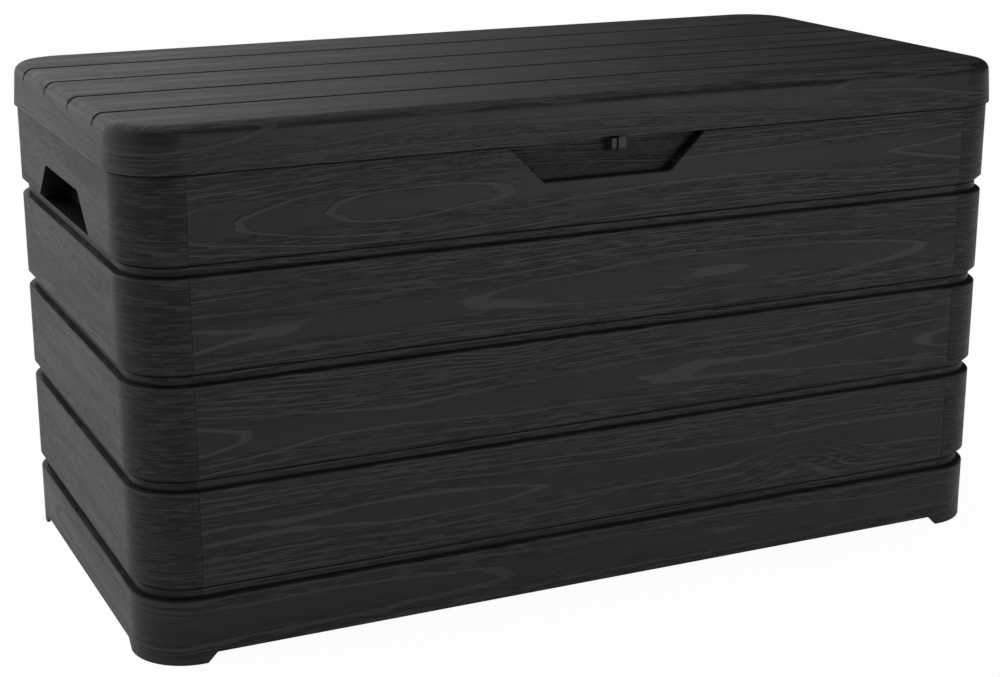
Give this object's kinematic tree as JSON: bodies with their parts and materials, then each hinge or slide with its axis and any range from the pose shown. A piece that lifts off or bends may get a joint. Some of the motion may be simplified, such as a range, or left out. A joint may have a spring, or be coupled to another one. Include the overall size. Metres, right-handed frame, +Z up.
{
  "type": "garden storage box",
  "caption": "Low resin garden chest of stacked wood-grain planks with hand holes in the ends, corner feet and a rear-hinged lid with a padlock tab.",
  "frame": {"origin": "centre of the footprint, at the soles of the feet", "axes": "+X along the width, to the right seen from the front; +Y to the rear, where the hinges are; +Z up"},
  "size_m": [1.188, 0.602, 0.633],
  "materials": {
    "grained_resin": "matte charcoal polypropylene with a wood grain embossed in it",
    "smooth_resin": "satin charcoal polypropylene",
    "plated_steel": "zinc plated, dull"
  },
  "bodies": {
    "box": {"base_tray": "grained_resin", "front_panel": "grained_resin", "back_panel": "grained_resin", "left_end_panel": "grained_resin", "right_end_panel": "grained_resin", "hinge_body_leaf_left": "smooth_resin", "hinge_body_leaf_middle": "smooth_resin", "hinge_body_leaf_right": "smooth_resin", "hinge_pin_left": "plated_steel", "hinge_pin_middle": "plated_steel", "hinge_pin_right": "plated_steel", "lock_eye": "smooth_resin", "base_screws": "plated_steel", "lock_eye_screws": "plated_steel", "hinge_body_screws": "plated_steel"},
    "lid": {"lid_shell": "grained_resin", "hinge_lid_leaf_left": "smooth_resin", "hinge_lid_leaf_middle": "smooth_resin", "hinge_lid_leaf_right": "smooth_resin", "lock_tab": "smooth_resin", "lock_tab_screws": "plated_steel", "hinge_lid_screws": "plated_steel"}
  },
  "joints": [
    {"name": "lid_hinge", "type": "hinge", "parent": "box", "child": "lid", "pos_m": [0, 0.292, 0.568], "axis": [-1, 0, 0], "range_deg": [0, 100]}
  ]
}
